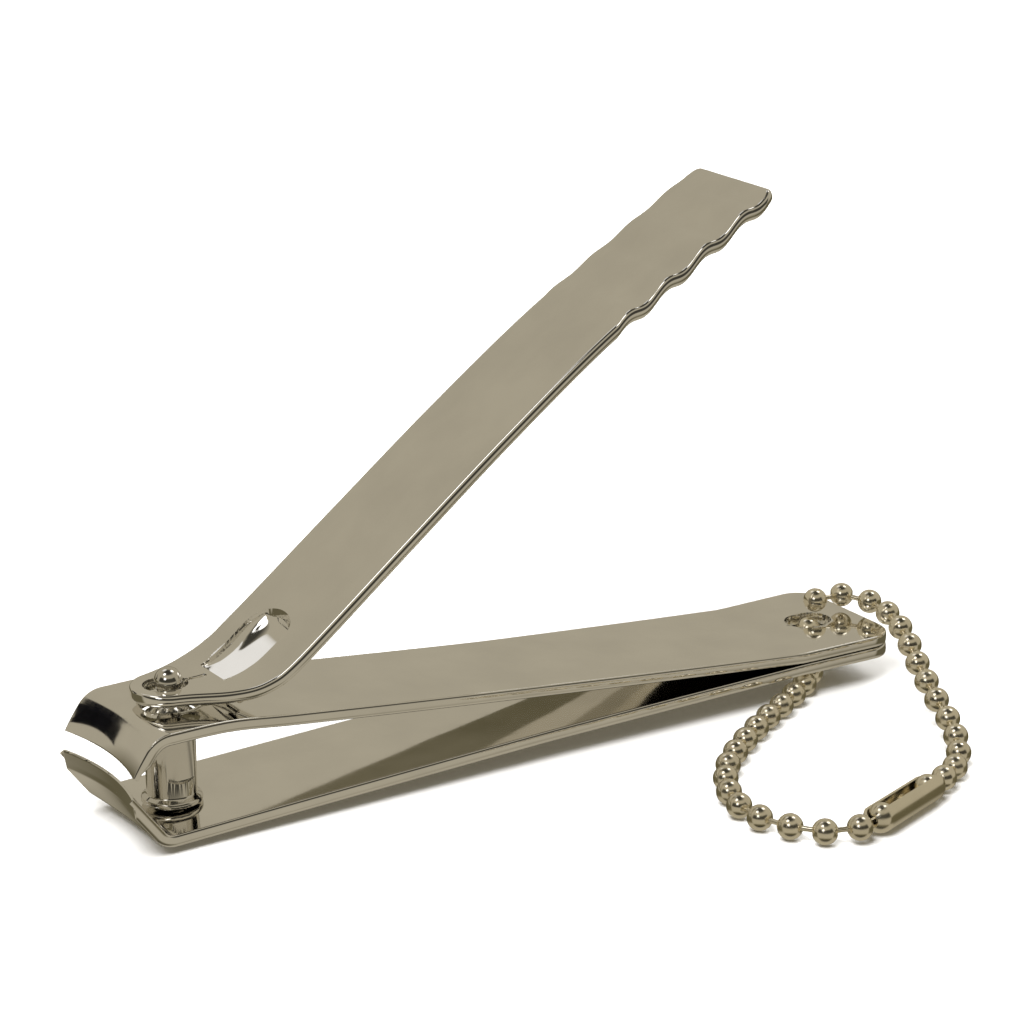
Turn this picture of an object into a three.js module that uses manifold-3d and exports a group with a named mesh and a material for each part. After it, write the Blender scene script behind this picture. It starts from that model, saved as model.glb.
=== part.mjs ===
// Lever nail clipper with a ball chain. Millimetres, +Z up, standing on z = 0.
// X runs from the jaws to the tail, Y across the plates, and the pin stands at PIN_X.
import * as THREE from "three";
import { mergeVertices } from "three/addons/utils/BufferGeometryUtils.js";
import Module from "manifold-3d";

const wasm = await Module();
wasm.setup();

// Driving dimensions
const TAIL_X = 81.2;
const PIN_X = 3.9;
const HALF_WIDTH_JAW = 6.9;
const HALF_WIDTH_TAIL = 7.7;
const PLATE_THICKNESS = 1.1;
const LEVER_THICKNESS = 1.1;
const LEVER_END_X = 66;
const LEVER_HALF_WIDTH = 6.7;
const LEVER_END_HALF_WIDTH = 6.25;
const BEAD_DIAMETER = 2.4;
const BEAD_PITCH = 3.25;
const GAP = 0.3;

// Plates
const CUTTING_EDGE_X = -3.3;
const CUTTING_ARC_DEPTH = 1.0;
const JAW_BEND_X = 0.3;
const EDGE_GRIND_LENGTH = 1.6;
const EDGE_THICKNESS = 0.25;
const WELD_X = 70;
const TAIL_CORNER_RADIUS = 2.6;
const TAIL_HOLE_X = 75.9;
const TAIL_HOLE_RADIUS = 1.95;
const TAIL_HOLE_STRETCH = 0.5;
const CURVE_POINTS = 9;
const JAW_STEPS = [2 * HALF_WIDTH_TAIL + 1, 14];

// Pin
const FOOT_RADIUS = 3.0;
const FOOT_HEIGHT = 0.5;
const PIN_NECK_RADIUS = 1.5;
const COLLAR_RADIUS = 2.8;
const COLLAR_Z = 2.1;
const COLLAR_HEIGHT = 0.9;
const POST_RADIUS = 2.3;
const POST_TOP_Z = 10.5;
const POST_FLAT_Y = 1.85;
const POST_FLAT_Z = 4.6;
const NOTCH_RADIUS = 1.0;
const TIP_RADIUS = 1.3;
const TIP_Z = 13.45;
const POST_CLEARANCE = 0.45;

// Lever
const TOE_RADIUS = 3.5;
const TOE_Z = 12.7;
const KEYHOLE_RADIUS = 1.8;
const KEYHOLE_FRONT = 0.6;
const KEYHOLE_SLOT_LENGTH = 3.8;
const KEYHOLE_SLOT_WIDTH = 0.5;
const WINDOW = { startX: 8.6, endX: 16.2, nearY: -2.2, farY: 3.9 };
const TONGUE_HALF_WIDTH = 1.9;
const GRIP = { startX: 48, pitch: 4.3, count: 4, height: 0.25 };

// Ball chain
const BEAD_RADIUS = BEAD_DIAMETER / 2;
const LINK_RADIUS = 0.35;
const CONNECTOR = { radius: 1.55, wall: 0.25, endInset: 1.8, holeRadius: 0.7, slotWidth: 1.3 };
const CONNECTOR_FROM = new THREE.Vector3(65.2, -33.3, CONNECTOR.radius);
const CONNECTOR_TO = new THREE.Vector3(54.2, -37.4, CONNECTOR.radius);

const chrome = new THREE.MeshStandardMaterial({ color: 0xa39b89, metalness: 1, roughness: 0.12 });
const pinSteel = new THREE.MeshStandardMaterial({ color: 0x8f8877, metalness: 1, roughness: 0.18 });
const nickel = new THREE.MeshStandardMaterial({ color: 0xa3987c, metalness: 1, roughness: 0.22 });

const point = (x, z) => new THREE.Vector2(x, z);

// Solids and meshes
function toSolid(geometry) {
  const bare = geometry.clone();
  bare.deleteAttribute("normal");
  bare.deleteAttribute("uv");
  const merged = mergeVertices(bare, 1e-4);
  const vertProperties = new Float32Array(merged.attributes.position.array);
  const triVerts = new Uint32Array(merged.index.array);
  return new wasm.Manifold(new wasm.Mesh({ numProp: 3, vertProperties, triVerts }));
}

function toMesh(name, solid, material) {
  const data = solid.getMesh();
  const geometry = new THREE.BufferGeometry();
  geometry.setAttribute("position", new THREE.BufferAttribute(new Float32Array(data.vertProperties), 3));
  geometry.setIndex(new THREE.BufferAttribute(new Uint32Array(data.triVerts), 1));
  geometry.computeVertexNormals();
  const mesh = new THREE.Mesh(geometry, material);
  mesh.name = name;
  return mesh;
}

// A plan outline in X and Y, as a tall prism
function prism(shape, height = 80) {
  const geometry = new THREE.ExtrudeGeometry(shape, {
    depth: height,
    bevelEnabled: false,
    curveSegments: CURVE_POINTS,
  });
  return toSolid(geometry.translate(0, 0, -5));
}

// A side outline in X and Z, as wide as the part or wider
function slab(shape, width = 30, steps = 1) {
  const geometry = new THREE.ExtrudeGeometry(shape, { depth: width, steps, bevelEnabled: false });
  geometry.rotateX(Math.PI / 2);
  return toSolid(geometry.translate(0, width / 2, 0));
}

function upright(radius, x, y = 0, height = 60) {
  const geometry = new THREE.CylinderGeometry(radius, radius, height, 32);
  geometry.rotateX(Math.PI / 2);
  return toSolid(geometry.translate(x, y, 0));
}

function block(x1, x2, y1, y2, z1, z2) {
  const geometry = new THREE.BoxGeometry(x2 - x1, y2 - y1, z2 - z1);
  return toSolid(geometry.translate((x1 + x2) / 2, (y1 + y2) / 2, (z1 + z2) / 2));
}

// A bent strip: its side outline is the centre line offset by half the thickness each way.
// groundSide +1 thins the first EDGE_GRIND_LENGTH from above the line, -1 from below it.
function strip(centre, thickness, groundSide = 0) {
  const sides = [[], []];
  let travelled = 0;
  centre.forEach((p, i) => {
    const before = centre[Math.max(i - 1, 0)];
    const after = centre[Math.min(i + 1, centre.length - 1)];
    const along = after.clone().sub(before).normalize();
    if (i > 0) travelled += p.distanceTo(before);
    const ground = Math.max(0, 1 - travelled / EDGE_GRIND_LENGTH) * (thickness - EDGE_THICKNESS);
    [1, -1].forEach((side, k) => {
      const offset = (side * thickness) / 2 - (side === groundSide ? side * ground : 0);
      sides[k].push(point(p.x - along.y * offset, p.y + along.x * offset));
    });
  });
  return new THREE.Shape([...sides[1], ...sides[0].reverse()]);
}

// Plan of a plate: an inward arc at the cutting edge, tapering sides and round tail corners
function platePlan() {
  const w = HALF_WIDTH_JAW;
  const r = TAIL_CORNER_RADIUS;
  const tail = HALF_WIDTH_TAIL;
  const shape = new THREE.Shape();
  shape.moveTo(2 * CUTTING_EDGE_X, w);
  shape.lineTo(2 * CUTTING_EDGE_X, -w);
  shape.lineTo(TAIL_X / 2, -w);
  shape.lineTo(TAIL_X - r, -tail);
  shape.absarc(TAIL_X - r, r - tail, r, -Math.PI / 2, 0);
  shape.absarc(TAIL_X - r, tail - r, r, 0, Math.PI / 2);
  shape.lineTo(TAIL_X / 2, w);
  return shape;
}

function cutTailHole(plate) {
  const ends = [-1, 1].map((side) => upright(TAIL_HOLE_RADIUS, TAIL_HOLE_X + side * TAIL_HOLE_STRETCH));
  const middle = block(
    TAIL_HOLE_X - TAIL_HOLE_STRETCH,
    TAIL_HOLE_X + TAIL_HOLE_STRETCH,
    -TAIL_HOLE_RADIUS,
    TAIL_HOLE_RADIUS,
    0,
    20,
  );
  return plate.subtract(ends[0]).subtract(ends[1]).subtract(middle);
}

// The centre line of a plate: its jaw, its bend, its slope and its welded tail
function plateLine(jaw, slope) {
  const line = new THREE.Path();
  line.moveTo(jaw.edge.x, jaw.edge.y);
  jaw.draw(line);
  line.splineThru(slope);
  line.lineTo(TAIL_X + 1, slope.at(-1).y);
  return line.getPoints(CURVE_POINTS).filter((p, i, all) => i === 0 || p.distanceTo(all[i - 1]) > 0.02);
}

// The jaws are pressed to an arc in plan: its full depth at the cutting edge, and none at the bend
function pressJaw(plate) {
  return plate.warp((v) => {
    const reach = (JAW_BEND_X - v[0]) / (JAW_BEND_X - CUTTING_EDGE_X);
    const across = Math.min(Math.abs(v[1]) / HALF_WIDTH_JAW, 1);
    v[0] += CUTTING_ARC_DEPTH * Math.min(Math.max(reach, 0), 1) * (1 - across * across);
  });
}

function lowerPlate() {
  const jaw = {
    edge: point(-3.75, 5.85),
    draw: (line) => line.lineTo(-0.75, 1.95).quadraticCurveTo(-0.15, 1.2, 0.9, 1.22),
  };
  const line = plateLine(jaw, [point(20, 1.85), point(42, 2.5), point(WELD_X, 3.12)]);
  const strips = slab(strip(line, PLATE_THICKNESS, -1), ...JAW_STEPS);
  const solid = pressJaw(strips).intersect(prism(platePlan()));
  return cutTailHole(solid.subtract(upright(PIN_NECK_RADIUS + 0.25, PIN_X)));
}

function upperPlate() {
  const jaw = {
    edge: point(-2.79, 7.7),
    draw: (line) => {
      line.quadraticCurveTo(-2.2, 8.75, -1.3, 9.95);
      line.quadraticCurveTo(-0.55, 10.85, 0.6, 10.85);
    },
  };
  const slope = [point(6.5, 10.82), point(13, 10.05), point(25, 8.7), point(41, 7.0), point(58, 5.4)];
  const line = plateLine(jaw, [...slope, point(WELD_X, 4.34)]);
  const strips = slab(strip(line, PLATE_THICKNESS, -1), ...JAW_STEPS);
  const solid = pressJaw(strips).intersect(prism(platePlan()));
  return cutTailHole(solid.subtract(upright(POST_RADIUS + POST_CLEARANCE, PIN_X)));
}

function pin() {
  const profile = new THREE.Path();
  profile.moveTo(0, 0);
  profile.lineTo(FOOT_RADIUS - 0.2, 0);
  profile.lineTo(FOOT_RADIUS, FOOT_HEIGHT / 2);
  profile.lineTo(FOOT_RADIUS - 0.1, FOOT_HEIGHT);
  profile.lineTo(PIN_NECK_RADIUS, FOOT_HEIGHT);
  profile.lineTo(PIN_NECK_RADIUS, COLLAR_Z);
  profile.lineTo(COLLAR_RADIUS, COLLAR_Z);
  profile.lineTo(COLLAR_RADIUS, COLLAR_Z + COLLAR_HEIGHT / 2);
  profile.lineTo(POST_RADIUS, COLLAR_Z + COLLAR_HEIGHT);
  profile.lineTo(POST_RADIUS, POST_TOP_Z);
  profile.lineTo(NOTCH_RADIUS, POST_TOP_Z + 0.7);
  const tipStart = -Math.acos(NOTCH_RADIUS / TIP_RADIUS);
  profile.lineTo(NOTCH_RADIUS, TIP_Z + TIP_RADIUS * Math.sin(tipStart));
  profile.absarc(0, TIP_Z, TIP_RADIUS, tipStart, Math.PI / 2);
  const outline = profile.getPoints(CURVE_POINTS);
  outline[outline.length - 1].x = 0;
  const turned = new THREE.LatheGeometry(outline, 32).rotateX(Math.PI / 2);
  const flats = [-1, 1].map((side) =>
    block(-5, 5, side * POST_FLAT_Y - (side < 0 ? 3 : 0), side * POST_FLAT_Y + (side > 0 ? 3 : 0), POST_FLAT_Z, 12),
  );
  return toSolid(turned).subtract(flats[0]).subtract(flats[1]).translate(PIN_X, 0, 0);
}

// Height of the grip waves above the lever's plain centre line
function gripWave(x) {
  const along = (x - GRIP.startX) / GRIP.pitch;
  return along > 0 && along < GRIP.count ? GRIP.height * Math.sin(2 * Math.PI * along) : 0;
}

function leverLine() {
  const line = new THREE.SplineCurve([
    point(-2, TOE_Z),
    point(3.5, TOE_Z),
    point(7.8, TOE_Z + 0.05),
    point(11, 13.45),
    point(14.3, 15.5),
    point(24.7, 23.5),
    point(35.3, 31.6),
    point(45.8, 39.1),
    point(55, 44.7),
    point(LEVER_END_X + 2, 51.25 + 1.2),
  ]);
  return line.getSpacedPoints(110).map((p) => point(p.x, p.y + gripWave(p.x)));
}

// Plan of the lever: a round toe about the pin, shoulders, and a slightly tapering handle
function leverPlan() {
  const shape = new THREE.Shape();
  const toeAngle = 1.9;
  const toe = point(PIN_X + TOE_RADIUS * Math.cos(toeAngle), TOE_RADIUS * Math.sin(toeAngle));
  const corner = 1.5;
  const end = LEVER_END_HALF_WIDTH;
  shape.absarc(PIN_X, 0, TOE_RADIUS, toeAngle, -toeAngle + 2 * Math.PI);
  shape.bezierCurveTo(toe.x + 4, -toe.y - 1.0, 8.5, -LEVER_HALF_WIDTH, 14, -LEVER_HALF_WIDTH);
  shape.lineTo(LEVER_END_X - corner, -end);
  shape.absarc(LEVER_END_X - corner, corner - end, corner, -Math.PI / 2, 0);
  shape.absarc(LEVER_END_X - corner, end - corner, corner, 0, Math.PI / 2);
  shape.lineTo(14, LEVER_HALF_WIDTH);
  shape.bezierCurveTo(8.5, LEVER_HALF_WIDTH, toe.x + 4, toe.y + 1.0, toe.x, toe.y);
  return shape;
}

// Plan of the opening over the tongue: square at the toe, arched at the other end, wider on one side
function windowPlan() {
  const { startX, endX, nearY, farY } = WINDOW;
  const start = startX - GAP;
  const shape = new THREE.Shape();
  shape.moveTo(start, nearY);
  shape.lineTo(endX - 1.6, nearY);
  shape.bezierCurveTo(endX + 0.4, nearY, endX + 0.6, farY, endX - 2.6, farY);
  shape.bezierCurveTo(endX - 4.4, farY, start + 1.6, farY - 0.9, start, farY - 1.7);
  return shape;
}

// The fulcrum: a tongue pressed down out of the lever, joined to it at its upper end
function tongue() {
  const line = new THREE.SplineCurve([
    point(17.6, 18.0),
    point(16.6, 17.0),
    point(15.4, 15.6),
    point(12.3, 13.9),
    point(8.7, 12.1),
  ]);
  const bent = slab(strip(line.getSpacedPoints(16), LEVER_THICKNESS - 0.1));
  const plan = new THREE.Shape();
  plan.moveTo(WINDOW.startX, -TONGUE_HALF_WIDTH);
  plan.lineTo(17.2, -TONGUE_HALF_WIDTH);
  plan.lineTo(17.2, TONGUE_HALF_WIDTH);
  plan.lineTo(WINDOW.startX, TONGUE_HALF_WIDTH);
  return bent.intersect(prism(plan));
}

function keyhole() {
  const back = upright(KEYHOLE_RADIUS, PIN_X);
  const front = upright(KEYHOLE_RADIUS, PIN_X - KEYHOLE_FRONT);
  const joining = block(PIN_X - KEYHOLE_FRONT, PIN_X, -KEYHOLE_RADIUS, KEYHOLE_RADIUS, 0, 20);
  const half = KEYHOLE_SLOT_WIDTH / 2;
  const slot = block(PIN_X, PIN_X + KEYHOLE_SLOT_LENGTH, -half, half, 0, 20);
  return back.add(front).add(joining).add(slot);
}

function lever() {
  const bent = slab(strip(leverLine(), LEVER_THICKNESS)).intersect(prism(leverPlan()));
  return bent.subtract(prism(windowPlan())).subtract(keyhole()).add(tongue());
}

// The chain's route, from inside one end of the connector, round through the tail hole, and back
function chainRoute() {
  const along = CONNECTOR_TO.clone().sub(CONNECTOR_FROM).normalize().multiplyScalar(CONNECTOR.endInset);
  const start = CONNECTOR_TO.clone().sub(along);
  const finish = CONNECTOR_FROM.clone().add(along);
  const lying = BEAD_RADIUS;
  const free = [
    [52.4, -37.6, 1.4],
    [49.8, -36.2, lying],
    [47.8, -33.2, lying],
    [46.8, -29.2, lying],
    [47.9, -24.9, lying],
    [50.4, -20.8, lying],
    [53.7, -17.5, lying],
    [61.0, -12.3, lying],
    [67.6, -8.4, lying],
    [72.2, -5.2, lying],
    [75.1, -1.9, 1.35],
    [76.1, 0.1, 3.7],
    [77.1, 0.9, 6.1],
    [79.6, 1.3, 6.5],
    [81.6, -0.6, 6.4],
    [82.0, -3.6, 6.3],
    [80.8, -8.8, 5.7],
    [78.5, -14.0, 4.4],
    [76.4, -19.0, 3.2],
    [74.6, -23.8, 2.1],
    [72.7, -27.3, 1.5],
    [70.2, -30.2, lying],
    [67.3, -32.3, 1.3],
  ].map((p) => new THREE.Vector3(...p));
  return new THREE.CatmullRomCurve3([start, ...free, finish], false, "centripetal");
}

function bead(centre) {
  const geometry = new THREE.SphereGeometry(BEAD_RADIUS, 12, 8);
  return toSolid(geometry.translate(centre.x, centre.y, centre.z));
}

// The wire that joins a bead to the next one, stopping short of it
function link(from, to) {
  const along = to.clone().sub(from);
  const length = along.length() - BEAD_RADIUS - GAP;
  const geometry = new THREE.CylinderGeometry(LINK_RADIUS, LINK_RADIUS, length, 8);
  geometry.translate(0, length / 2, 0);
  const turn = new THREE.Quaternion().setFromUnitVectors(new THREE.Vector3(0, 1, 0), along.normalize());
  geometry.applyQuaternion(turn);
  return toSolid(geometry.translate(from.x, from.y, from.z));
}

function chainMeshes() {
  const route = chainRoute();
  const count = Math.round(route.getLength() / BEAD_PITCH);
  route.arcLengthDivisions = 600;
  route.updateArcLengths();
  const places = Array.from({ length: count + 1 }, (_, i) => route.getPointAt(i / count));
  return places.map((place, i) => {
    const solid = i < count ? bead(place).add(link(place, places[i + 1])) : bead(place);
    return toMesh(`chain_bead_${String(i + 1).padStart(2, "0")}`, solid, nickel);
  });
}

// An open sheet-metal barrel that holds the chain's two end beads
function connector() {
  const along = CONNECTOR_TO.clone().sub(CONNECTOR_FROM);
  const length = along.length();
  const { radius, wall, holeRadius, slotWidth } = CONNECTOR;
  const barrel = (r, l) => toSolid(new THREE.CapsuleGeometry(r, l - 2 * r, 5, 20));
  const bore = toSolid(new THREE.CylinderGeometry(holeRadius, holeRadius, length * 2, 12));
  const slot = block(-slotWidth / 2, slotWidth / 2, 1 - length / 2, length / 2 - 1, 0, radius * 2);
  const shell = barrel(radius, length).subtract(barrel(radius - wall, length - 2 * wall));
  const mesh = toMesh("chain_connector", shell.subtract(bore).subtract(slot), nickel);
  mesh.quaternion.setFromUnitVectors(new THREE.Vector3(0, 1, 0), along.normalize());
  mesh.position.copy(CONNECTOR_FROM).add(CONNECTOR_TO).multiplyScalar(0.5);
  return mesh;
}

const clipper = new THREE.Group();
clipper.add(toMesh("lower_plate", lowerPlate(), chrome));
clipper.add(toMesh("upper_plate", upperPlate(), chrome));
clipper.add(toMesh("pin", pin(), pinSteel));
clipper.add(toMesh("lever", lever(), chrome));
clipper.add(...chainMeshes(), connector());
clipper.position.x = -PIN_X; // the origin is under the pin's foot

export default clipper;
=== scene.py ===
import math

import bmesh
import bpy
import numpy as np
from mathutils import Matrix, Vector


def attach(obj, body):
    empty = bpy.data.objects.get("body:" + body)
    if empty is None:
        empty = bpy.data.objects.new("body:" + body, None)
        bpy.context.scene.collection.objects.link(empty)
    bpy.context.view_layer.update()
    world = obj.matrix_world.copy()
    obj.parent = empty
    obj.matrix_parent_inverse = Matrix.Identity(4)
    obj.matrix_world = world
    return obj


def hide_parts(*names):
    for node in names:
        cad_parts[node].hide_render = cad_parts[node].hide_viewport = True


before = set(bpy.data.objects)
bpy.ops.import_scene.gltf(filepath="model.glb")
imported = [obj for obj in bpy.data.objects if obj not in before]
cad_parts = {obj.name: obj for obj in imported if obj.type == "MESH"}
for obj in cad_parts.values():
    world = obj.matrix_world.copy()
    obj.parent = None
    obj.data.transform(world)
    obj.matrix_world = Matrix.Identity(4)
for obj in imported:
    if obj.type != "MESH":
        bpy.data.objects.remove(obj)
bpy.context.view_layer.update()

MM = 0.001

# Sizes in millimetres, in the CAD's own frame, whose origin is under the pin's foot
PIN_X = 3.9
TAIL_X = 81.2
HALF_WIDTH_JAW = 6.9
HALF_WIDTH_TAIL = 7.7
TAIL_CORNER = 2.6
CUTTING_EDGE_X = -3.3
CUTTING_ARC_DEPTH = 1.0
JAW_BEND_X = 0.3
EDGE_GRIND_LENGTH = 1.6
PLATE_THICKNESS = 1.1
EDGE_THICKNESS = 0.22
EDGE_RADIUS = 0.16
WELD_X = 70.0
LOWER_TAIL_Z = 3.12
UPPER_TAIL_Z = 4.34
TAIL_HOLE_X = 75.9
TAIL_HOLE_RADIUS = 1.95
TAIL_HOLE_STRETCH = 0.5
POST_RADIUS = 2.3
NECK_RADIUS = 1.5
FLAT_HALF_DISTANCE = 1.85
FLAT_START_Z = 5.6
TIP_RADIUS = 1.3
TIP_Z = 13.45
NOTCH_RADIUS = 1.0
LEVER_THICKNESS = 1.1
LEVER_END_X = 66.0
LEVER_HALF_WIDTH = 6.7
LEVER_END_HALF_WIDTH = 6.25
LEVER_EDGE_RADIUS = 0.36
LEVER_NECK_END_X = 14
LEVER_CORNER = 1.5
TOE_RADIUS = 3.5
TOE_Z = 12.7
WINDOW_START_X = 8.3
WINDOW_END_X = 16.2
WINDOW_NEAR_Y = -2.2
WINDOW_FAR_Y = 3.9
TONGUE_ROLL = 0.176
TONGUE_HALF_WIDTH = 1.9
TONGUE_WALL_Y = 1.4
TONGUE_WALL_CURL = 0.36
GRIP_START_X = 48.0
GRIP_PITCH = 4.3
GRIP_COUNT = 4
WELD_MARK = (59.9, 1.0, 1.7)  # x, y and radius
BEAD_RADIUS = 1.2
BEAD_PITCH = 3.25
BEAD_HOLE_RADIUS = 0.42
WIRE_RADIUS = 0.26
CONNECTOR_RADIUS = 1.55
CONNECTOR_ENDS = [np.array([54.2, -37.4, CONNECTOR_RADIUS]), np.array([65.2, -33.3, CONNECTOR_RADIUS])]
CHAIN_IN_HOLE = (76.1, 0.1, 3.7)

# Camera, with its target in the CAD's own frame
CAMERA_AZIMUTH = math.radians(-33.04)
CAMERA_ELEVATION = math.radians(18.23)
CAMERA_DISTANCE = 318.45
CAMERA_TARGET = (40.39, 0, 22.71)
SENSOR_WIDTH = 36
LENS = 119.53125

# Colours of the metals and of the room that they mirror
CHROME = (0.90, 0.885, 0.85)
STEEL = (0.80, 0.78, 0.73)
NICKEL = (0.97, 0.91, 0.76)
TAN = (0.40, 0.362, 0.278)
OLIVE = (0.115, 0.100, 0.058)
DARK = (0.045, 0.042, 0.033)
BLACK = (0, 0, 0)
WHITE = (1, 1, 1)

# Bands of the room's far and near side, as (height, colour), with 0 straight down and 1 straight up
FAR_BANDS = [(0.18, TAN), (0.26, OLIVE), (0.47, OLIVE), (0.53, TAN), (0.90, TAN), (0.97, DARK)]
NEAR_BANDS = [
    (0.06, DARK),
    (0.16, OLIVE),
    (0.22, TAN),
    (0.50, TAN),
    (0.56, DARK),
    (0.76, DARK),
    (0.81, TAN),
    (0.93, TAN),
    (0.97, DARK),
]
NEAR_SIDE = [(0.60, BLACK), (0.68, WHITE)]

# Soft lights of the room: direction, size and brightness
SOFTBOXES = [
    ((-0.03, 0.58, 0.81), 0.011, 0.85),
    ((0.50, 0.12, 0.84), 0.006, 2.5),
    ((-0.43, 0.02, 0.90), 0.007, 2.5),
    ((-0.75, -0.5, 0.6), 0.006, 2.5),
]
BACKDROP = (0.9, 0.9, 0.9, 1)


# Camera
def in_frame(p):
    return ((p[0] - PIN_X) * MM, p[1] * MM, p[2] * MM)


def add_camera():
    """The scene's camera. Returns the direction from its target back to it."""
    level = math.cos(CAMERA_ELEVATION)
    back = Vector(
        (math.sin(CAMERA_AZIMUTH) * level, -math.cos(CAMERA_AZIMUTH) * level, math.sin(CAMERA_ELEVATION))
    )
    data = bpy.data.cameras.new("camera")
    data.sensor_width = SENSOR_WIDTH
    data.lens = LENS
    data.clip_start = 0.01
    camera = bpy.data.objects.new("camera", data)
    camera.location = Vector(in_frame(CAMERA_TARGET)) + back * CAMERA_DISTANCE * MM
    camera.rotation_euler = (-back).to_track_quat("-Z", "Y").to_euler()
    bpy.context.collection.objects.link(camera)
    bpy.context.scene.camera = camera
    return back


# Curves
def catmull_rom(points, steps):
    """The same uniform spline as three.js's SplineCurve, as an array of points."""
    p = np.array(points, float)
    p = np.vstack([p[:1], p, p[-1:]])
    out = []
    for i in range(1, len(p) - 2):
        for t in np.arange(steps) / steps:
            v0 = (p[i + 1] - p[i - 1]) / 2
            v1 = (p[i + 2] - p[i]) / 2
            a = 2 * p[i] - 2 * p[i + 1] + v0 + v1
            b = -3 * p[i] + 3 * p[i + 1] - 2 * v0 - v1
            out.append(a * t**3 + b * t**2 + v0 * t + p[i])
    out.append(p[-1])
    return np.array(out)


def quadratic(a, b, c, steps=24):
    t = np.linspace(0, 1, steps)[:, None]
    return (1 - t) ** 2 * np.array(a) + 2 * t * (1 - t) * np.array(b) + t**2 * np.array(c)


def cubic(a, b, c, d, steps=40):
    t = np.linspace(0, 1, steps)[:, None]
    ends = (1 - t) ** 3 * np.array(a) + t**3 * np.array(d)
    return ends + 3 * t * (1 - t) ** 2 * np.array(b) + 3 * t**2 * (1 - t) * np.array(c)


def joined(*pieces):
    """Pieces of a line in one array, without points that repeat."""
    line = np.vstack([np.atleast_2d(p) for p in pieces])
    keep = np.r_[True, np.linalg.norm(np.diff(line, axis=0), axis=1) > 1e-4]
    return line[keep]


class Line:
    """A centre line in X and Z, measured by its length."""

    def __init__(self, points):
        self.points = points
        steps = np.linalg.norm(np.diff(points, axis=0), axis=1)
        self.s = np.r_[0, np.cumsum(steps)]
        self.length = self.s[-1]

    def at(self, s):
        return np.stack([np.interp(s, self.s, self.points[:, k]) for k in (0, 1)], -1)

    def normal(self, s, reach=0.25):
        along = self.at(np.minimum(s + reach, self.length)) - self.at(np.maximum(s - reach, 0))
        along /= np.linalg.norm(along, axis=-1, keepdims=True)
        return np.stack([-along[..., 1], along[..., 0]], -1)

    def s_at_x(self, x):
        return np.interp(x, self.points[:, 0], self.s)


# Mesh helpers
def add_object(name, vertices, faces, material):
    mesh = bpy.data.meshes.new(name)
    mesh.from_pydata([in_frame(v) for v in vertices], [], faces)
    mesh.update()
    obj = bpy.data.objects.new(name, mesh)
    bpy.context.collection.objects.link(obj)
    if material:
        mesh.materials.append(material)
    return obj


def apply_modifiers(obj):
    depsgraph = bpy.context.evaluated_depsgraph_get()
    mesh = bpy.data.meshes.new_from_object(obj.evaluated_get(depsgraph))
    obj.modifiers.clear()
    obj.data = mesh


def cut(obj, *cutters):
    for cutter in cutters:
        modifier = obj.modifiers.new("cut", "BOOLEAN")
        modifier.object = cutter
        modifier.operation = "DIFFERENCE"
        modifier.solver = "EXACT"
    apply_modifiers(obj)
    for cutter in cutters:
        bpy.data.objects.remove(cutter)


def soften(obj, width):
    """Rounds the sharp edges a little and shades the rest smooth."""
    bevel = obj.modifiers.new("bevel", "BEVEL")
    bevel.width = width * MM
    bevel.segments = 3
    bevel.limit_method = "ANGLE"
    bevel.angle_limit = math.radians(35)
    bevel.harden_normals = True
    apply_modifiers(obj)
    smooth(obj, 40)


def smooth(obj, sharpest):
    """Shades the piece smooth, up to edges sharper than an angle in degrees."""
    obj.data.shade_smooth()
    obj.data.set_sharp_from_angle(angle=math.radians(sharpest))


def sweep(name, line, stations, across, half_width, half_thickness, edge, material, press=None):
    """A bent strip with rounded long edges. stations are shares of its length; half_width(x) and
    half_thickness(s, side) shape it, and press(x, v, z) then moves its points in X and Z."""
    v_top = np.cos(np.linspace(np.pi, 0, across))
    turn = np.linspace(np.pi / 2, -np.pi / 2, 9)[1:-1]
    loops = []
    for share in stations:
        s_mid = share * line.length
        w = max(half_width(float(line.at(s_mid)[0])), 0.02)
        r = min(edge, w)
        flat = w - r
        v = np.r_[v_top * flat, flat + r * np.cos(turn), v_top[::-1] * flat, -flat - r * np.cos(turn)]
        side = np.r_[np.ones(across), np.sin(turn), -np.ones(across), -np.sin(turn)]
        s = np.full_like(v, s_mid)
        centre = line.at(s)
        normal = line.normal(s)
        thick = half_thickness(s, side)
        edge_drop = np.r_[np.zeros(across), np.ones(len(turn)), np.zeros(across), np.ones(len(turn))]
        n = np.where(edge_drop > 0, thick * side, thick * np.sign(side))
        z = centre[:, 1] + normal[:, 1] * n
        x = centre[:, 0] + normal[:, 0] * n
        if press:
            x, z = press(x, v, z)
        loops.append(np.stack([x, v, z], -1))
    size = len(loops[0])
    vertices = np.concatenate(loops)
    faces = []
    for k in range(len(loops) - 1):
        for j in range(size):
            a = k * size + j
            b = k * size + (j + 1) % size
            faces.append((a, b, b + size, a + size))
    for k, flip in ((0, True), (len(loops) - 1, False)):
        base = k * size
        top = [base + j for j in range(across)]
        bottom = [base + across + len(turn) + j for j in range(across)][::-1]
        caps = [(top[j], top[j + 1], bottom[j + 1], bottom[j]) for j in range(across - 1)]
        caps.append([top[-1]] + [base + across + j for j in range(len(turn))] + [bottom[-1]])
        left = [base + 2 * across + len(turn) + j for j in range(len(turn))]
        caps.append([bottom[0]] + left + [top[0]])
        faces += [tuple(reversed(c)) if not flip else tuple(c) for c in caps]
    obj = add_object(name, vertices.tolist(), faces, material)
    fix_normals(obj)
    return obj


def fix_normals(obj):
    bm = bmesh.new()
    bm.from_mesh(obj.data)
    bmesh.ops.remove_doubles(bm, verts=bm.verts, dist=1e-8)
    bmesh.ops.recalc_face_normals(bm, faces=bm.faces)
    bm.to_mesh(obj.data)
    bm.free()


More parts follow.
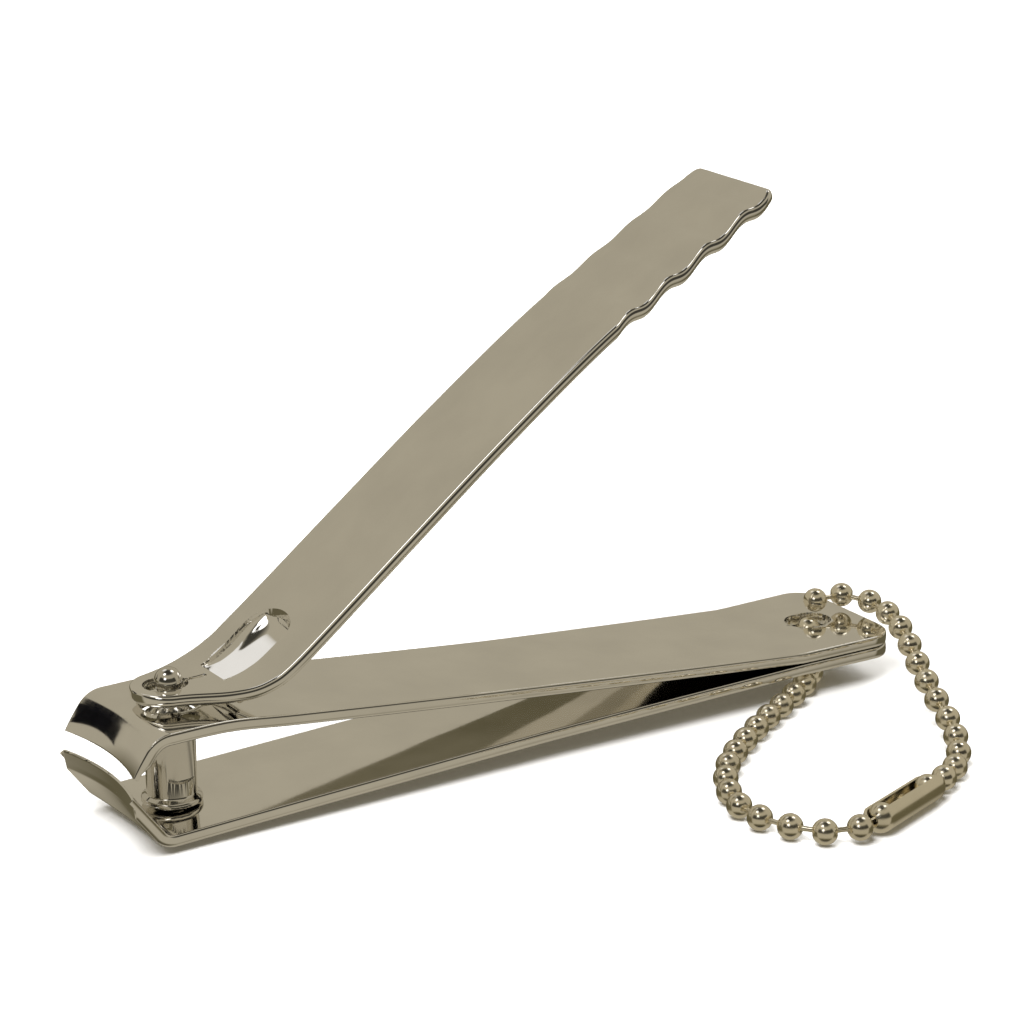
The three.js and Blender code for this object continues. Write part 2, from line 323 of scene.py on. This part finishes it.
def lathe(name, profile, material, segments, x):
    """A turned piece about an upright axis at x. profile is (radius, z) from the axis back to the axis."""
    vertices = []
    rings = []
    for radius, z in profile:
        if radius < 1e-6:
            rings.append([len(vertices)])
            vertices.append((x, 0.0, z))
            continue
        rings.append(list(range(len(vertices), len(vertices) + segments)))
        for k in range(segments):
            angle = 2 * math.pi * k / segments
            vertices.append((x + radius * math.cos(angle), radius * math.sin(angle), z))
    faces = []
    for low, high in zip(rings, rings[1:]):
        for k in range(segments):
            a, b = low[k % len(low)], low[(k + 1) % len(low)]
            c, d = high[(k + 1) % len(high)], high[k % len(high)]
            faces.append(tuple(dict.fromkeys((a, b, c, d))))
    return add_object(name, vertices, faces, material)


def prism(name, outline, low, high):
    """An upright prism of a closed plan outline, used to cut with."""
    n = len(outline)
    vertices = [(x, y, low) for x, y in outline] + [(x, y, high) for x, y in outline]
    faces = [tuple(range(n))[::-1], tuple(range(n, 2 * n))]
    faces += [(k, (k + 1) % n, (k + 1) % n + n, k + n) for k in range(n)]
    return add_object(name, vertices, faces, None)


def stadium(x, radius, stretch, count=48):
    """Plan of a round hole that is stretched along X by stretch each way."""
    angles = [2 * math.pi * (k + 0.5) / count for k in range(count)]
    return [
        (x + math.copysign(stretch, math.cos(a)) + radius * math.cos(a), radius * math.sin(a))
        for a in angles
    ]


def window_outline():
    """Plan of the opening over the tongue: square at the toe, arched at the other end and wider on the
    far side."""
    start, end, near, far = WINDOW_START_X, WINDOW_END_X, WINDOW_NEAR_Y, WINDOW_FAR_Y
    arch = cubic((end - 1.6, near), (end + 0.4, near), (end + 0.6, far), (end - 2.6, far), 24)
    side = cubic((end - 2.6, far), (end - 4.4, far), (start + 1.6, far - 0.9), (start, far - 1.7), 16)
    return [(start, near), *arch.tolist(), *side[1:].tolist()]


# Materials
def chrome_material(name, color, roughness, ripple, seed, ring=None):
    """Bright plate with slow ripples, faint rub marks and a slightly uneven polish. ring is the x, y and
    radius of a spot weld's faint circle."""
    material = bpy.data.materials.new(name)
    material.use_nodes = True
    nodes, links = material.node_tree.nodes, material.node_tree.links
    shader = nodes["Principled BSDF"]
    shader.inputs["Metallic"].default_value = 1.0
    place = nodes.new("ShaderNodeTexCoord")
    shift = nodes.new("ShaderNodeMapping")
    shift.inputs["Location"].default_value = (seed, seed * 0.7, seed * 0.3)
    links.new(place.outputs["Object"], shift.inputs["Vector"])

    def noise(scale, detail=3.0, stretch=(1, 1, 1)):
        scaled = nodes.new("ShaderNodeMapping")
        scaled.inputs["Scale"].default_value = stretch
        links.new(shift.outputs["Vector"], scaled.inputs["Vector"])
        texture = nodes.new("ShaderNodeTexNoise")
        texture.inputs["Scale"].default_value = scale
        texture.inputs["Detail"].default_value = detail
        links.new(scaled.outputs["Vector"], texture.inputs["Vector"])
        return texture.outputs["Fac"]

    def ramp(value, low, high):
        node = nodes.new("ShaderNodeMapRange")
        node.inputs["To Min"].default_value = low
        node.inputs["To Max"].default_value = high
        node.inputs["From Min"].default_value = 0.3
        node.inputs["From Max"].default_value = 0.7
        links.new(value, node.inputs["Value"])
        return node.outputs["Result"]

    tint = nodes.new("ShaderNodeMix")
    tint.data_type = "RGBA"
    tint.inputs["A"].default_value = (*[c * 0.95 for c in color], 1)
    tint.inputs["B"].default_value = (*[min(1, c * 1.03) for c in color], 1)
    links.new(ramp(noise(160), 0, 1), tint.inputs["Factor"])
    links.new(tint.outputs["Result"], shader.inputs["Base Color"])
    links.new(ramp(noise(700, 4), roughness * 0.75, roughness * 1.3), shader.inputs["Roughness"])
    slow = nodes.new("ShaderNodeBump")
    slow.inputs["Strength"].default_value = ripple
    slow.inputs["Distance"].default_value = 0.0004
    links.new(noise(110, 1.5), slow.inputs["Height"])
    rub = nodes.new("ShaderNodeBump")
    rub.inputs["Strength"].default_value = 0.03
    rub.inputs["Distance"].default_value = 0.00002
    links.new(noise(900, 2, (0.12, 1, 1)), rub.inputs["Height"])
    links.new(slow.outputs["Normal"], rub.inputs["Normal"])
    surface = rub.outputs["Normal"]
    if ring:
        surface = add_ring(nodes, links, place, ring, surface)
    links.new(surface, shader.inputs["Normal"])
    return material


def add_ring(nodes, links, place, ring, surface):
    """A faint pressed circle, as a bump on top of the surface's own."""
    x, y, radius = ring
    flat = nodes.new("ShaderNodeVectorMath")
    flat.operation = "MULTIPLY"
    flat.inputs[1].default_value = (1, 1, 0)
    links.new(place.outputs["Object"], flat.inputs[0])
    reach = nodes.new("ShaderNodeVectorMath")
    reach.operation = "DISTANCE"
    reach.inputs[1].default_value = (x * MM, y * MM, 0)
    links.new(flat.outputs["Vector"], reach.inputs[0])
    off = nodes.new("ShaderNodeMath")
    off.operation = "SUBTRACT"
    off.inputs[1].default_value = radius * MM
    links.new(reach.outputs["Value"], off.inputs[0])
    size = nodes.new("ShaderNodeMath")
    size.operation = "ABSOLUTE"
    links.new(off.outputs["Value"], size.inputs[0])
    line = nodes.new("ShaderNodeMapRange")
    line.interpolation_type = "SMOOTHSTEP"
    line.inputs["From Max"].default_value = 0.25 * MM
    links.new(size.outputs["Value"], line.inputs["Value"])
    bump = nodes.new("ShaderNodeBump")
    bump.inputs["Strength"].default_value = 0.6
    bump.inputs["Distance"].default_value = 0.00003
    links.new(line.outputs["Result"], bump.inputs["Height"])
    links.new(surface, bump.inputs["Normal"])
    return bump.outputs["Normal"]


chrome = chrome_material("chrome_plate", CHROME, roughness=0.06, ripple=0.10, seed=0.0)
plate_chrome = chrome_material("chrome_plate_welded", CHROME, 0.06, 0.10, 0.0, ring=WELD_MARK)
pin_steel = chrome_material("pin_steel", STEEL, roughness=0.10, ripple=0.06, seed=3.0)
nickel = chrome_material("nickel_chain", NICKEL, roughness=0.19, ripple=0.08, seed=7.0)


# Chain
def chain_route():
    """The CAD route in millimetres: from inside one end of the connector round to the other."""
    first, last = CONNECTOR_ENDS
    inset = (last - first) / np.linalg.norm(last - first) * 1.8
    lying = BEAD_RADIUS
    points = [
        first + inset,
        (52.4, -37.6, 1.4),
        (49.8, -36.2, lying),
        (47.8, -33.2, lying),
        (46.8, -29.2, lying),
        (47.9, -24.9, lying),
        (50.4, -20.8, lying),
        (53.7, -17.5, lying),
        (61.0, -12.3, lying),
        (67.6, -8.4, lying),
        (72.2, -5.2, lying),
        (75.1, -1.9, 1.35),
        CHAIN_IN_HOLE,
        (77.1, 0.9, 6.1),
        (79.6, 1.3, 6.5),
        (81.6, -0.6, 6.4),
        (82.0, -3.6, 6.3),
        (80.8, -8.8, 5.7),
        (78.5, -14.0, 4.4),
        (76.4, -19.0, 3.2),
        (74.6, -23.8, 2.1),
        (72.7, -27.3, 1.5),
        (70.2, -30.2, lying),
        (67.3, -32.3, 1.3),
        last - inset,
    ]
    return centripetal(np.array(points, float))


def centripetal(p, steps=40):
    """The same curve as three.js's centripetal CatmullRomCurve3."""
    p = np.vstack([2 * p[0] - p[1], p, 2 * p[-1] - p[-2]])
    out = []
    for i in range(1, len(p) - 2):
        d = [math.sqrt(np.linalg.norm(p[i + k] - p[i + k - 1])) for k in (0, 1, 2)]
        v0 = (p[i] - p[i - 1]) / d[0] - (p[i + 1] - p[i - 1]) / (d[0] + d[1]) + (p[i + 1] - p[i]) / d[1]
        v1 = (p[i + 1] - p[i]) / d[1] - (p[i + 2] - p[i]) / (d[1] + d[2]) + (p[i + 2] - p[i + 1]) / d[2]
        v0, v1 = v0 * d[1], v1 * d[1]
        a = 2 * p[i] - 2 * p[i + 1] + v0 + v1
        b = -3 * p[i] + 3 * p[i + 1] - 2 * v0 - v1
        out += [a * t**3 + b * t**2 + v0 * t + p[i] for t in np.arange(steps) / steps]
    out.append(p[-2])
    return np.array(out)


def bead_places():
    """Evenly spaced bead centres along the route, one pitch apart."""
    route = chain_route()
    s = np.r_[0, np.cumsum(np.linalg.norm(np.diff(route, axis=0), axis=1))]
    count = round(s[-1] / BEAD_PITCH)
    wanted = np.linspace(0, s[-1], count + 1)
    return np.stack([np.interp(wanted, s, route[:, k]) for k in range(3)], -1)


def turned_profile(profile, place, direction, segments):
    """Vertices and faces of a small turned shape about direction, from (along, radius) pairs."""
    z = Vector(direction).normalized()
    x = z.orthogonal().normalized()
    y = z.cross(x)
    vertices = []
    faces = []
    for along, radius in profile:
        for k in range(segments):
            a = 2 * math.pi * k / segments
            vertices.append(Vector(place) + z * along + (x * math.cos(a) + y * math.sin(a)) * radius)
    for r in range(len(profile) - 1):
        for k in range(segments):
            a, b = r * segments + k, r * segments + (k + 1) % segments
            faces.append((a, b, b + segments, a + segments))
    faces.append(tuple(range(segments))[::-1])
    last = (len(profile) - 1) * segments
    faces.append(tuple(range(last, last + segments)))
    return vertices, faces


def chain_run(name, places):
    """Beads with a small flat at each wire hole, and the wire between them, as one piece."""
    vertices, faces = [], []

    def add(part):
        offset = len(vertices)
        vertices.extend(part[0])
        faces.extend(tuple(offset + i for i in f) for f in part[1])

    hole = math.asin(BEAD_HOLE_RADIUS / BEAD_RADIUS)
    turn = np.linspace(hole, math.pi - hole, 19)
    ball = [(-BEAD_RADIUS * math.cos(a), BEAD_RADIUS * math.sin(a)) for a in turn]
    for i, place in enumerate(places):
        ahead = places[min(i + 1, len(places) - 1)] - places[max(i - 1, 0)]
        add(turned_profile(ball, place, ahead, 28))
        if i + 1 < len(places):
            gap = places[i + 1] - place
            reach = np.linalg.norm(gap) / 2
            wire = [(reach * share, WIRE_RADIUS) for share in (-0.9, -0.4, 0.4, 0.9)]
            wire.insert(2, (0, WIRE_RADIUS - 0.02))
            add(turned_profile(wire, (place + places[i + 1]) / 2, gap, 12))
    obj = add_object(name, [tuple(v) for v in vertices], faces, nickel)
    fix_normals(obj)
    smooth(obj, 50)
    return obj


def make_connector():
    """An open sheet-metal barrel with a slot along its top and a round mouth at each end."""
    first, last = CONNECTOR_ENDS
    length = float(np.linalg.norm(last - first))
    r, wall = CONNECTOR_RADIUS - 0.03, 0.22
    turn = np.linspace(0.42, math.pi / 2, 10)
    outer = [(-length / 2 + r - r * math.cos(a), r * math.sin(a)) for a in turn]
    outer += [(-u, v) for u, v in reversed(outer)]
    inner = [(u * (1 - 2 * wall / length), max(v - wall, 0.3)) for u, v in reversed(outer)]
    profile = outer + inner
    z = Vector(last - first).normalized()
    up = Vector((0, 0, 1))
    side = z.cross(up).normalized()
    up = side.cross(z)
    opening = math.radians(52)
    angles = np.linspace(opening, 2 * math.pi - opening, 44) + math.pi / 2 + 0.35
    vertices, faces = [], []
    centre = Vector((first + last) / 2)
    for a in angles:
        for u, v in profile:
            vertices.append(centre + z * u + (side * math.cos(a) + up * math.sin(a)) * v)
    n = len(profile)
    for k in range(len(angles) - 1):
        for j in range(n):
            b = (j + 1) % n
            faces.append((k * n + j, k * n + b, (k + 1) * n + b, (k + 1) * n + j))
    faces.append(tuple(range(n)))
    faces.append(tuple(range((len(angles) - 1) * n, len(angles) * n))[::-1])
    obj = add_object("connector_barrel", [tuple(v) for v in vertices], faces, nickel)
    fix_normals(obj)
    smooth(obj, 38)
    return obj


def add_chain():
    """The chain as two cords that both leave the tail hole, with the connector on the upper one."""
    places = bead_places()
    names = sorted(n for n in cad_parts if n.startswith("chain_bead_"))
    from_hole = np.abs(places[:, 0] - CHAIN_IN_HOLE[0]) + np.abs(places[:, 2] - CHAIN_IN_HOLE[2])
    middle = int(np.argmin(from_hole))
    lower = chain_run("chain_lower_run", places[: middle + 1])
    upper = chain_run("chain_upper_run", places[middle + 1 :])
    connector = make_connector()
    for piece in (lower, upper, connector):
        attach(piece, "lower_jaw")
    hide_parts(*names[: middle + 1])
    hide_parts(*names[middle + 1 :])
    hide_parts("chain_connector")


# Plates
def plate_half_width(x):
    w = float(np.interp(x, [TAIL_X / 2, TAIL_X - TAIL_CORNER], [HALF_WIDTH_JAW, HALF_WIDTH_TAIL]))
    into_corner = x - (TAIL_X - TAIL_CORNER)
    if into_corner > 0:
        w -= TAIL_CORNER - math.sqrt(max(TAIL_CORNER**2 - into_corner**2, 0))
    return w


def press_jaw(x, v, z):
    """The jaws' arc in plan: its full depth at the cutting edge, and none at the bend."""
    reach = np.clip((JAW_BEND_X - x) / (JAW_BEND_X - CUTTING_EDGE_X), 0, 1)
    across = np.minimum(np.abs(v) / HALF_WIDTH_JAW, 1)
    return x + CUTTING_ARC_DEPTH * reach * (1 - across**2), z


def half_sheet(s, side):
    """Half the plate's thickness, thinned from below towards the cutting edge."""
    ground = np.clip(1 - s / EDGE_GRIND_LENGTH, 0, 1) * (PLATE_THICKNESS - EDGE_THICKNESS)
    return np.where(side < 0, PLATE_THICKNESS / 2 - ground, PLATE_THICKNESS / 2)


def plate_stations(length):
    """Where the sections stand, closest together in the jaw and round the tail's corners."""
    jaw_end, tail = 9, 4
    jaw = np.linspace(0, jaw_end, 70) / length
    slope = np.linspace(jaw_end, length - tail, 60)[1:] / length
    corner = 1 - tail / length * np.cos(np.linspace(0, math.pi / 2, 22)[1:])
    return np.r_[jaw, slope, np.minimum(corner, 0.99999)]


def make_plate(name, line, holes):
    stations = plate_stations(line.length)
    plate = sweep(
        name, line, stations, 25, plate_half_width, half_sheet, EDGE_RADIUS, plate_chrome, press_jaw
    )
    cut(plate, *holes)
    soften(plate, 0.07)
    return plate


def tail_hole():
    return prism("cutter", stadium(TAIL_HOLE_X, TAIL_HOLE_RADIUS, TAIL_HOLE_STRETCH), -1, 20)


def add_lower_plate():
    points = joined(
        [(-3.75, 5.85), (-0.75, 1.95)],
        quadratic((-0.75, 1.95), (-0.15, 1.2), (0.9, 1.22)),
        catmull_rom([(0.9, 1.22), (20, 1.85), (42, 2.5), (WELD_X, LOWER_TAIL_Z)], 30),
        [(TAIL_X, LOWER_TAIL_Z)],
    )
    holes = [prism("cutter", stadium(PIN_X, 1.75, 0), -1, 9), tail_hole()]
    plate = make_plate("lower_plate_fine", Line(points), holes)
    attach(plate, "lower_jaw")
    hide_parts("lower_plate")


def add_upper_plate():
    slope = [(0.6, 10.85), (6.5, 10.82), (13, 10.05), (25, 8.7), (41, 7.0), (58, 5.4)]
    points = joined(
        quadratic((-2.79, 7.7), (-2.2, 8.75), (-1.3, 9.95)),
        quadratic((-1.3, 9.95), (-0.55, 10.85), (0.6, 10.85)),
        catmull_rom([*slope, (WELD_X, UPPER_TAIL_Z)], 24),
        [(TAIL_X, UPPER_TAIL_Z)],
    )
    holes = [prism("cutter", stadium(PIN_X, POST_RADIUS + 0.45, 0, 64), 6, 20), tail_hole()]
    plate = make_plate("upper_plate_fine", Line(points), holes)
    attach(plate, "upper_jaw")
    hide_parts("upper_plate")
    return plate


# Pin
def pin_profile():
    """Half the pin's section as (radius, z): foot, neck, collar, post, notch and ball tip."""
    turn = np.linspace(-math.acos(NOTCH_RADIUS / TIP_RADIUS), math.pi / 2, 22)
    tip = [(TIP_RADIUS * math.cos(a), TIP_Z + TIP_RADIUS * math.sin(a)) for a in turn]
    tip[-1] = (0.0, tip[-1][1])
    foot = [(0, 0), (2.8, 0), (2.95, 0.1), (3.0, 0.25), (2.9, 0.45), (2.75, 0.5)]
    neck = [(NECK_RADIUS, 0.5), (NECK_RADIUS, 2.1)]
    collar = [(2.65, 2.1), (2.8, 2.2), (2.8, 2.5), (2.7, 2.65), (2.4, 2.85)]
    post = [(POST_RADIUS, 3.05), (POST_RADIUS, 10.4), (2.2, 10.5), (NOTCH_RADIUS, 11.2)]
    return foot + neck + collar + post + tip


def pin_flat(side):
    """A cutter for one flat of the post, round at its lower end."""
    low, high = sorted((side * FLAT_HALF_DISTANCE, side * 5))
    angles = np.linspace(math.pi, 2 * math.pi, 25)
    outline = [(PIN_X + 1.25 * math.cos(a) * 1.6, FLAT_START_Z + 1.25 * math.sin(a)) for a in angles]
    outline += [(PIN_X + 5, 11.9), (PIN_X - 5, 11.9)]
    return side_prism(outline, low, high)


def add_pin():
    pin = lathe("pin_fine", pin_profile(), pin_steel, 96, PIN_X)
    flats = [pin_flat(side) for side in (-1, 1)]
    cut(pin, *flats)
    soften(pin, 0.05)
    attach(pin, "pin")
    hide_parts("pin")


def side_prism(outline, low, high):
    """A prism of an outline in X and Z, from one Y to another, used to cut with."""
    n = len(outline)
    vertices = [(x, low, z) for x, z in outline] + [(x, high, z) for x, z in outline]
    faces = [tuple(range(n)), tuple(range(n, 2 * n))[::-1]]
    faces += [(k, k + n, (k + 1) % n + n, (k + 1) % n) for k in range(n)]
    cutter = add_object("cutter", vertices, faces, None)
    fix_normals(cutter)
    return cutter


# Lever
def lever_line():
    points = [(-2, TOE_Z), (3.5, TOE_Z), (7.8, TOE_Z + 0.05), (11, 13.45), (14.3, 15.5), (24.7, 23.5)]
    points += [(35.3, 31.6), (45.8, 39.1), (55, 44.7), (LEVER_END_X + 2, 52.45)]
    curve = catmull_rom(points, 40)
    inside = curve[:, 0] <= LEVER_END_X + 0.5
    start = PIN_X - TOE_RADIUS
    return joined([(start, TOE_Z)], curve[inside & (curve[:, 0] > start + 0.05)])


# The lever's edge from its round toe to its full width, as (x, half width)
SHOULDER = cubic(
    (2.77, 3.31), (6.77, 4.31), (8.5, LEVER_HALF_WIDTH), (LEVER_NECK_END_X, LEVER_HALF_WIDTH)
)


def lever_half_width(x):
    if x < SHOULDER[0][0]:
        return math.sqrt(max(TOE_RADIUS**2 - (x - PIN_X) ** 2, 0))
    if x < SHOULDER[-1][0]:
        return float(np.interp(x, SHOULDER[:, 0], SHOULDER[:, 1]))
    w = float(np.interp(x, [LEVER_NECK_END_X, LEVER_END_X], [LEVER_HALF_WIDTH, LEVER_END_HALF_WIDTH]))
    into_corner = x - (LEVER_END_X - LEVER_CORNER)
    if into_corner > 0:
        w -= LEVER_CORNER - math.sqrt(max(LEVER_CORNER**2 - into_corner**2, 0))
    return w


def press_grip(x, v, z):
    """The pressed waves of the grip, deep at the near edge and faint at the far one."""
    along = (x - GRIP_START_X) / GRIP_PITCH
    inside = (along > 0) & (along < GRIP_COUNT)
    depth = 0.21 - 0.12 * (v / LEVER_HALF_WIDTH)
    return x, z + np.where(inside, depth * np.sin(2 * np.pi * along), 0)


def rounded_ends(line, thickness):
    """Half the sheet's thickness, rounded off towards both ends of the line."""
    half = thickness / 2
    radius = 0.35

    def half_thickness(s, side):
        from_end = np.minimum(s, line.length - s)
        d = np.clip(radius - from_end, 0, radius)
        return half - radius + np.sqrt(np.maximum(radius**2 - d**2, 0.0004))

    return half_thickness


def add_lever():
    line = Line(lever_line())
    end_share = line.s_at_x(LEVER_END_X) / line.length
    line = Line(line.points[line.s <= end_share * line.length])
    nose = 4.0 / line.length
    tail = 3.0 / line.length
    # Sections stand closest together round the toe and the end's corners
    stations = np.r_[
        nose * (1 - np.cos(np.linspace(0, math.pi / 2, 30))),
        np.linspace(nose, 1 - tail, 240)[1:],
        1 - tail * np.cos(np.linspace(0, math.pi / 2, 24)[1:]),
    ]
    lever = sweep(
        "lever_fine",
        line,
        np.clip(stations, 0.0002, 0.9998),
        25,
        lever_half_width,
        rounded_ends(line, LEVER_THICKNESS),
        LEVER_EDGE_RADIUS,
        chrome,
        press_grip,
    )
    keyhole = prism("cutter", stadium(PIN_X - 0.3, 1.8, 0.3), 5, 20)
    slot_end_x = PIN_X + 3.8
    slot_plan = [(PIN_X, -0.25), (slot_end_x, -0.25), (slot_end_x, 0.25), (PIN_X, 0.25)]
    slot = prism("cutter", slot_plan, 5, 20)
    window = prism("cutter", window_outline(), 5, 30)
    cut(lever, keyhole, slot, window)
    soften(lever, 0.12)
    tongue = make_tongue(line)
    for piece in (lever, tongue):
        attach(piece, "lever")
        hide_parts("lever")


def make_tongue(lever_line):
    """The pressed tongue under the opening: a straight panel, tipped a little, whose far side curls up
    to the opening's edge."""
    curve = catmull_rom([(17.6, 18.0), (16.8, 16.9), (15.6, 15.1), (12.3, 13.35), (8.7, 12.1)], 20)[::-1]
    line = Line(curve[curve[:, 0] < 16.9])

    def press_tongue(x, v, z):
        tipped = z + TONGUE_ROLL * np.clip(v, -TONGUE_HALF_WIDTH, TONGUE_HALF_WIDTH)
        curled = tipped + TONGUE_WALL_CURL * np.maximum(v - TONGUE_WALL_Y, 0) ** 2
        top = np.interp(x, lever_line.points[:, 0], lever_line.points[:, 1]) + 0.3
        return x, np.minimum(curled, top)

    tongue = sweep(
        "lever_tongue",
        line,
        np.linspace(0, 1, 60),
        31,
        lambda x: 3.9,
        rounded_ends(line, LEVER_THICKNESS - 0.15),
        0.25,
        chrome,
        press_tongue,
    )
    smooth(tongue, 40)
    return tongue


# Studio
def plain_material(name, color):
    material = bpy.data.materials.new(name)
    material.use_nodes = True
    shader = material.node_tree.nodes["Principled BSDF"]
    shader.inputs["Base Color"].default_value = (*color, 1)
    shader.inputs["Roughness"].default_value = 0.9
    shader.inputs["Specular IOR Level"].default_value = 0.0
    return material


def add_floor():
    """A pale floor that the chrome doesn't mirror, so that its edges show against it."""
    mesh = bpy.data.meshes.new("floor")
    r = 4.0  # half its side, in metres
    mesh.from_pydata([(-r, -r, 0), (r, -r, 0), (r, r, 0), (-r, r, 0)], [], [(0, 1, 2, 3)])
    floor = bpy.data.objects.new("floor", mesh)
    floor.location.z = -0.08 * MM
    bpy.context.collection.objects.link(floor)
    mesh.materials.append(plain_material("floor", (0.92, 0.92, 0.92)))
    floor.visible_glossy = False


def add_jaw_card(plate):
    """A black studio card, seen only in reflection, that the far half of the upper jaw's slope mirrors.
    Its outline is where the camera's view of a rounded patch on the jaw lands after the mirror."""
    camera = bpy.context.scene.camera.location
    y_mid, z_mid, half_y, half_z, corner = 3.7, 9.75, 4.2, 1.05, 0.4
    count = 40
    outline = []
    for k in range(count):
        a = 2 * math.pi * (k + 0.5) / count
        y = y_mid + math.copysign(half_y - corner, math.cos(a)) + corner * math.cos(a)
        z = z_mid + math.copysign(half_z - corner, math.sin(a)) + corner * math.sin(a)
        y = min(y, HALF_WIDTH_JAW - 0.3)
        _, place, normal, _ = plate.ray_cast((-0.03, y * MM, z * MM), (1, 0, 0))
        seen = (place - camera).normalized()
        mirrored = seen - 2 * seen.dot(normal) * normal
        outline.append(place + mirrored * 35 * MM)
    mesh = bpy.data.meshes.new("jaw_card")
    middle = sum(outline, Vector()) / count
    fan = [(0, k + 1, (k + 1) % count + 1) for k in range(count)]
    mesh.from_pydata([middle, *outline], [], fan)
    card = bpy.data.objects.new("jaw_card", mesh)
    bpy.context.collection.objects.link(card)
    mesh.materials.append(plain_material("jaw_card", (0.004, 0.004, 0.005)))
    for ray in ("camera", "diffuse", "transmission", "volume_scatter", "shadow"):
        setattr(card, "visible_" + ray, False)


def add_area(name, location, size, power, target=(0.035, 0, 0.01)):
    data = bpy.data.lights.new(name, "AREA")
    data.shape = "DISK"
    data.size = size
    data.energy = power
    lamp = bpy.data.objects.new(name, data)
    lamp.location = location
    lamp.rotation_euler = (Vector(target) - Vector(location)).to_track_quat("-Z", "Y").to_euler()
    lamp.visible_glossy = False
    bpy.context.collection.objects.link(lamp)


def add_world(back):
    """A room for the metal to mirror, white to the camera itself: tan with olive and dark bands that
    differ between its far and near sides, and a few soft lights."""
    world = bpy.data.worlds.new("room")
    bpy.context.scene.world = world
    world.use_nodes = True
    nodes, links = world.node_tree.nodes, world.node_tree.links
    place = nodes.new("ShaderNodeTexCoord")

    def along(direction):
        """How far a ray points along a direction, from 0 against it to 1 along it."""
        node = nodes.new("ShaderNodeVectorMath")
        node.operation = "DOT_PRODUCT"
        node.inputs[1].default_value = direction
        links.new(place.outputs["Generated"], node.inputs[0])
        half = nodes.new("ShaderNodeMapRange")
        half.inputs["From Min"].default_value = -1
        links.new(node.outputs["Value"], half.inputs["Value"])
        return half.outputs["Result"]

    def bands(value, stops):
        ramp = nodes.new("ShaderNodeValToRGB")
        ramp.color_ramp.elements.remove(ramp.color_ramp.elements[1])
        for k, (position, color) in enumerate(stops):
            stop = ramp.color_ramp.elements[0] if k == 0 else ramp.color_ramp.elements.new(position)
            stop.position = position
            stop.color = (*color, 1)
        links.new(value, ramp.inputs["Fac"])
        return ramp.outputs["Color"]

    def mixed(factor, a, b):
        """a where the factor is 0 and b, a colour or an output, where it is 1."""
        node = nodes.new("ShaderNodeMix")
        node.data_type = "RGBA"
        links.new(factor, node.inputs["Factor"])
        links.new(a, node.inputs["A"])
        if isinstance(b, tuple):
            node.inputs["B"].default_value = b
        else:
            links.new(b, node.inputs["B"])
        return node.outputs["Result"]

    height = along((0, 0, 1))
    far = bands(height, FAR_BANDS)
    near = bands(height, NEAR_BANDS)
    level_back = Vector((back.x, back.y, 0)).normalized()
    room = mixed(bands(along(level_back), NEAR_SIDE), far, near)
    for direction, size, brightness in SOFTBOXES:
        edge = [(1 - size, BLACK), (1 - size * 0.6, WHITE)]
        glow = bands(along(Vector(direction).normalized()), edge)
        room = mixed(glow, room, (brightness, brightness * 0.98, brightness * 0.95, 1))
    rays = nodes.new("ShaderNodeLightPath")
    shown = mixed(rays.outputs["Is Camera Ray"], room, BACKDROP)
    links.new(shown, nodes["Background"].inputs["Color"])


back = add_camera()
add_chain()
add_lower_plate()
upper_plate = add_upper_plate()
add_pin()
add_lever()
add_floor()
add_area("key", (-0.35, -0.25, 0.75), 0.5, 9)
add_area("fill", (0.5, 0.4, 0.6), 0.8, 7)
add_world(back)
add_jaw_card(upper_plate)
bpy.context.scene.view_settings.view_transform = "Standard"
